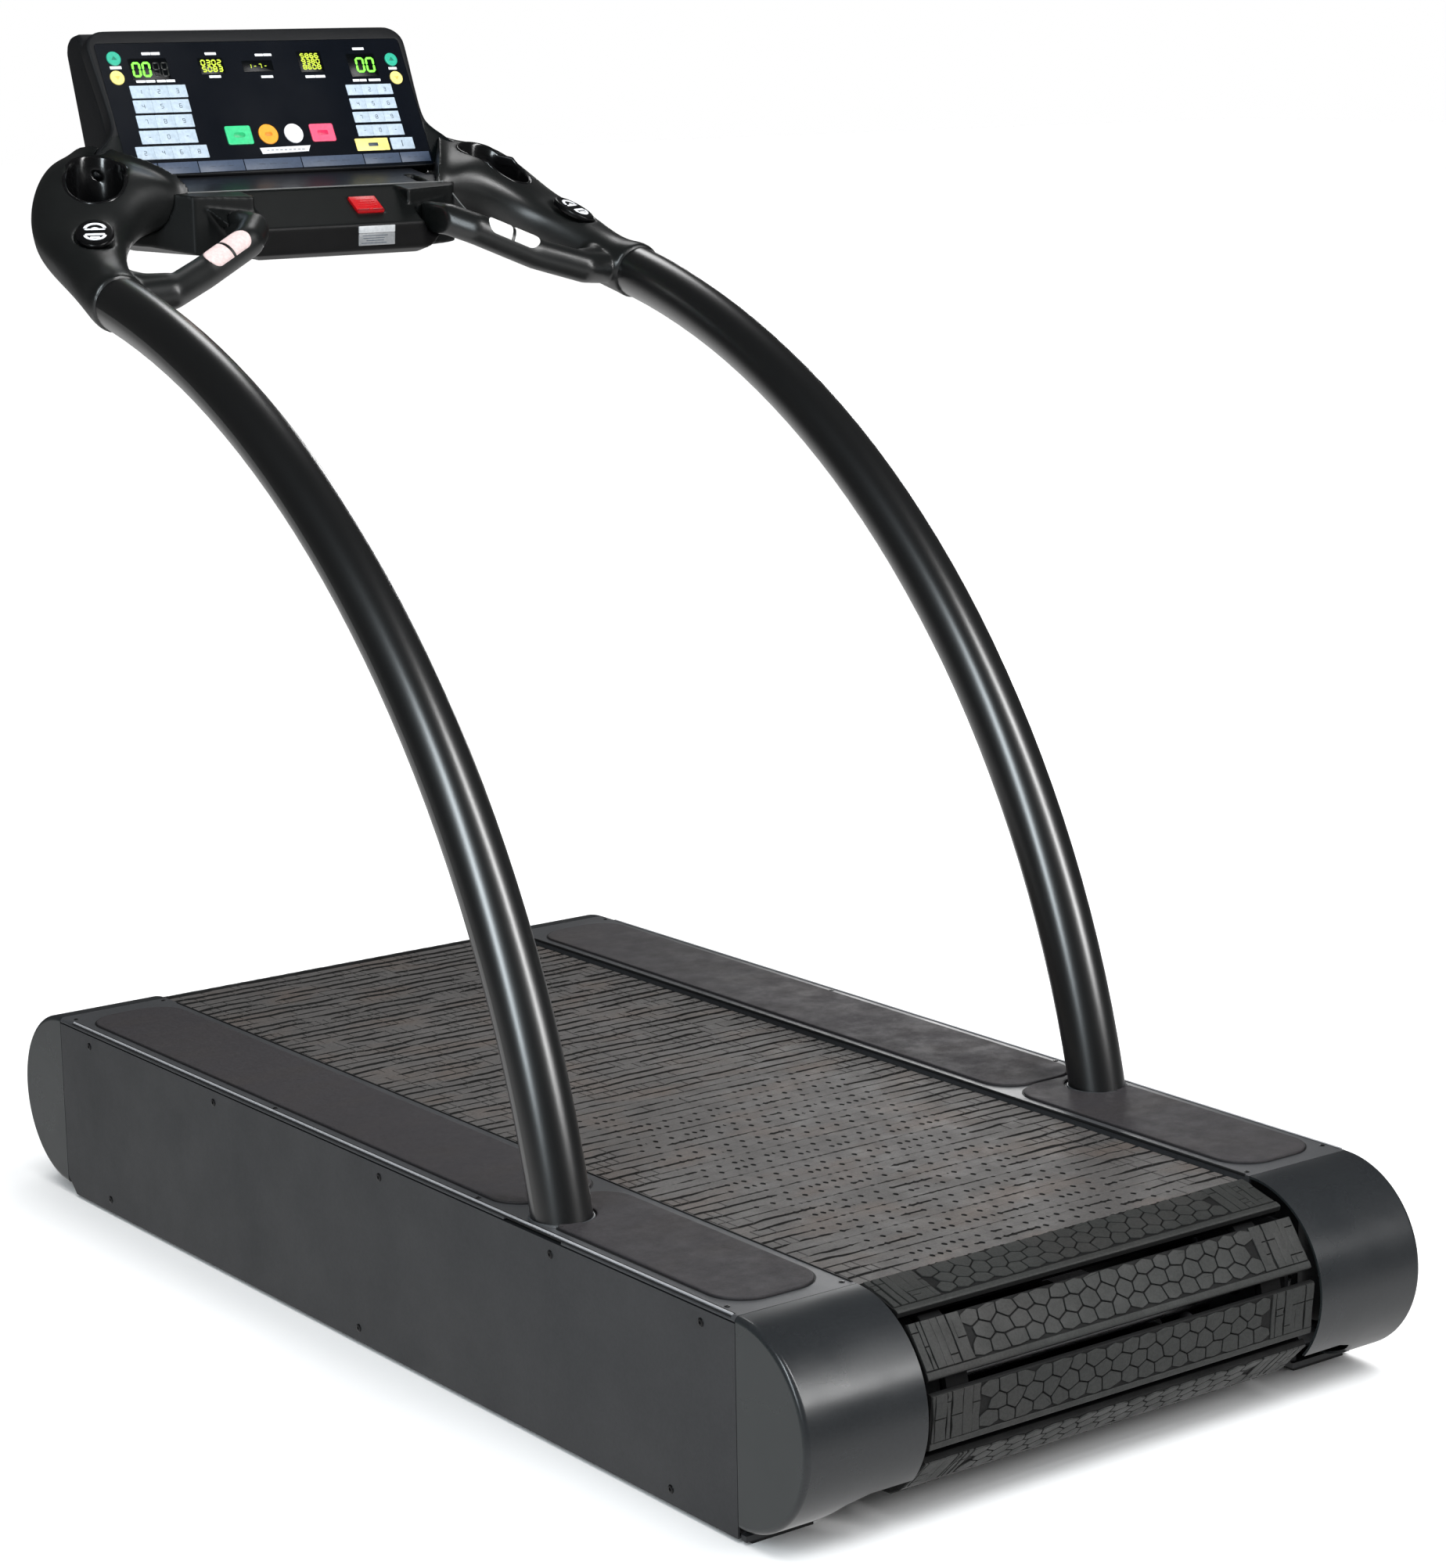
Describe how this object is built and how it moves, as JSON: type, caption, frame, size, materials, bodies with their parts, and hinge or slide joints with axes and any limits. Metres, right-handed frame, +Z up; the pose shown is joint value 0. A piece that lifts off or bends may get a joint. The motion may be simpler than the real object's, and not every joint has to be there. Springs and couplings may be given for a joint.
{
  "type": "treadmill",
  "caption": "Motorised slat-belt treadmill with curved tubular handrails, a tilted console head, hand-grip arms and a rear-pivoting incline.",
  "frame": {"origin": "bottom centre of the bounding box, on the floor", "axes": "+X to the user's right across the belt, +Y along the belt towards the console, +Z up"},
  "size_m": [0.8992, 1.878, 1.5577],
  "materials": {
    "frame_steel": "satin",
    "foot_steel": "satin",
    "steel": "satin",
    "aluminium": "satin",
    "motor_paint": "satin",
    "panel_paint": "satin",
    "cap_paint": "semi-gloss",
    "cover_paint": "satin",
    "tube_paint": "semi-gloss",
    "mat_rubber": "matt",
    "tread_rubber": "matt",
    "belt_rubber": "matt",
    "foot_rubber": "matt",
    "wheel_rubber": "matt",
    "console_plastic": "satin",
    "overlay_film": "gloss",
    "circuit_board": "satin",
    "box_grey": "satin",
    "inlet_black": "satin",
    "key_green": "satin",
    "key_red": "satin",
    "key_orange": "satin",
    "key_white": "satin",
    "key_teal": "satin",
    "key_yellow": "satin",
    "quick_black": "gloss",
    "tag_red": "satin",
    "pad_metal": "satin",
    "screw_black": "satin"
  },
  "bodies": {
    "rear_base": {"rear_foot_base": "foot_steel", "rear_foot_pads": "foot_rubber", "rear_pivot_pins": "steel"},
    "frame": {"side_rail_left": "frame_steel", "side_rail_right": "frame_steel", "cross_members": "frame_steel", "roller_rails": "frame_steel", "guide_rollers": "steel", "belt_cords": "belt_rubber", "slat_bars": "aluminium", "slat_treads": "tread_rubber", "shaft_bearings": "motor_paint", "drive_motor": "motor_paint", "drive_belt": "belt_rubber", "lift_gearmotor": "motor_paint", "controller_box": "box_grey", "power_inlet": "inlet_black", "side_panel_left": "panel_paint", "side_panel_right": "panel_paint", "panel_screws": "screw_black", "deck_cover_left": "cover_paint", "deck_cover_right": "cover_paint", "step_mats": "mat_rubber", "rear_cap_left": "cap_paint", "rear_cap_right": "cap_paint", "front_cap_left": "cap_paint", "front_cap_right": "cap_paint", "handrail_left": "tube_paint", "handrail_right": "tube_paint", "handrail_sockets": "frame_steel", "console_housing": "console_plastic", "console_back": "console_plastic", "console_overlay": "overlay_film", "console_board": "circuit_board", "console_tray": "console_plastic", "arm_left": "console_plastic", "arm_right": "console_plastic", "grip_pads": "pad_metal"},
    "rear_drum": {"rear_shaft": "steel", "rear_pulleys": "motor_paint"},
    "front_drum": {"front_shaft": "steel", "front_pulleys": "motor_paint"},
    "motor_rotor": {"motor_pulley": "steel"},
    "lift": {"lift_arm": "frame_steel", "lift_axles": "steel"},
    "lift_wheel_left": {"lift_wheel_left": "wheel_rubber"},
    "lift_wheel_right": {"lift_wheel_right": "wheel_rubber"},
    "power_rocker": {"power_rocker": "key_red"},
    "estop_tag": {"estop_tag": "tag_red"},
    "start_key": {"start_key": "key_green"},
    "stop_key": {"stop_key": "key_red"},
    "pause_key": {"pause_key": "key_orange"},
    "enter_key": {"enter_key": "key_white"},
    "speed_up_key": {"speed_up_key": "key_teal"},
    "speed_down_key": {"speed_down_key": "key_yellow"},
    "incline_up_key": {"incline_up_key": "key_teal"},
    "incline_down_key": {"incline_down_key": "key_yellow"},
    "quick_key_left": {"quick_key_left": "quick_black"},
    "quick_key_right": {"quick_key_right": "quick_black"}
  },
  "joints": [
    {"name": "incline", "type": "hinge", "parent": "rear_base", "child": "frame", "pos_m": [0, -0.808, 0.03], "axis": [1, 0, 0], "range_deg": [0, 8.53]},
    {"name": "lift_swing", "type": "hinge", "parent": "frame", "child": "lift", "pos_m": [0, 0.328, 0.075], "axis": [-1, 0, 0], "range_deg": [0, 41.1]},
    {"name": "lift_wheel_left_spin", "type": "hinge", "parent": "lift", "child": "lift_wheel_left", "pos_m": [-0.3665, 0.65492, 0.03], "axis": [1, 0, 0], "continuous": true},
    {"name": "lift_wheel_right_spin", "type": "hinge", "parent": "lift", "child": "lift_wheel_right", "pos_m": [0.3665, 0.65492, 0.03], "axis": [1, 0, 0], "continuous": true},
    {"name": "front_drum_spin", "type": "hinge", "parent": "frame", "child": "front_drum", "pos_m": [0, 0.702, 0.132], "axis": [1, 0, 0], "continuous": true},
    {"name": "rear_drum_spin", "type": "hinge", "parent": "frame", "child": "rear_drum", "pos_m": [0, -0.822, 0.132], "axis": [1, 0, 0], "continuous": true},
    {"name": "motor_spin", "type": "hinge", "parent": "frame", "child": "motor_rotor", "pos_m": [0, 0.523, 0.132], "axis": [1, 0, 0], "continuous": true},
    {"name": "power_rocker_tilt", "type": "hinge", "parent": "frame", "child": "power_rocker", "pos_m": [0.33, 0.808, 0.132], "axis": [1, 0, 0], "range_deg": [0, 14]},
    {"name": "estop_tag_pull", "type": "slide", "parent": "frame", "child": "estop_tag", "axis": [0, -0.5735, 0.8192], "range_m": [0, 0.03]},
    {"name": "start_key_press", "type": "slide", "parent": "frame", "child": "start_key", "axis": [0, 0.8927, -0.4507], "range_m": [0, 0.001], "stiffness_N_per_m": 800, "springref_m": -0.001},
    {"name": "stop_key_press", "type": "slide", "parent": "frame", "child": "stop_key", "axis": [0, 0.8927, -0.4507], "range_m": [0, 0.001], "stiffness_N_per_m": 800, "springref_m": -0.001},
    {"name": "pause_key_press", "type": "slide", "parent": "frame", "child": "pause_key", "axis": [0, 0.8927, -0.4507], "range_m": [0, 0.001], "stiffness_N_per_m": 800, "springref_m": -0.001},
    {"name": "enter_key_press", "type": "slide", "parent": "frame", "child": "enter_key", "axis": [0, 0.8927, -0.4507], "range_m": [0, 0.001], "stiffness_N_per_m": 800, "springref_m": -0.001},
    {"name": "speed_up_key_press", "type": "slide", "parent": "frame", "child": "speed_up_key", "axis": [0, 0.8927, -0.4507], "range_m": [0, 0.001], "stiffness_N_per_m": 800, "springref_m": -0.001},
    {"name": "speed_down_key_press", "type": "slide", "parent": "frame", "child": "speed_down_key", "axis": [0, 0.8927, -0.4507], "range_m": [0, 0.001], "stiffness_N_per_m": 800, "springref_m": -0.001},
    {"name": "incline_up_key_press", "type": "slide", "parent": "frame", "child": "incline_up_key", "axis": [0, 0.8927, -0.4507], "range_m": [0, 0.001], "stiffness_N_per_m": 800, "springref_m": -0.001},
    {"name": "incline_down_key_press", "type": "slide", "parent": "frame", "child": "incline_down_key", "axis": [0, 0.8927, -0.4507], "range_m": [0, 0.001], "stiffness_N_per_m": 800, "springref_m": -0.001},
    {"name": "quick_key_left_rock", "type": "hinge", "parent": "frame", "child": "quick_key_left", "pos_m": [-0.374, 0.627, 1.296], "axis": [-0.8859, 0.4639, -0.0013], "range_deg": [-4, 4], "stiffness_Nm_per_rad": 0.6},
    {"name": "quick_key_right_rock", "type": "hinge", "parent": "frame", "child": "quick_key_right", "pos_m": [0.374, 0.627, 1.296], "axis": [0.8859, 0.4639, -0.0013], "range_deg": [-4, 4], "stiffness_Nm_per_rad": 0.6}
  ],
  "couplings": [
    {"joint": "lift_swing", "follows": "incline", "ratio": 4.7942},
    {"joint": "rear_drum_spin", "follows": "front_drum_spin", "ratio": 1},
    {"joint": "motor_spin", "follows": "front_drum_spin", "ratio": 2.4}
  ]
}
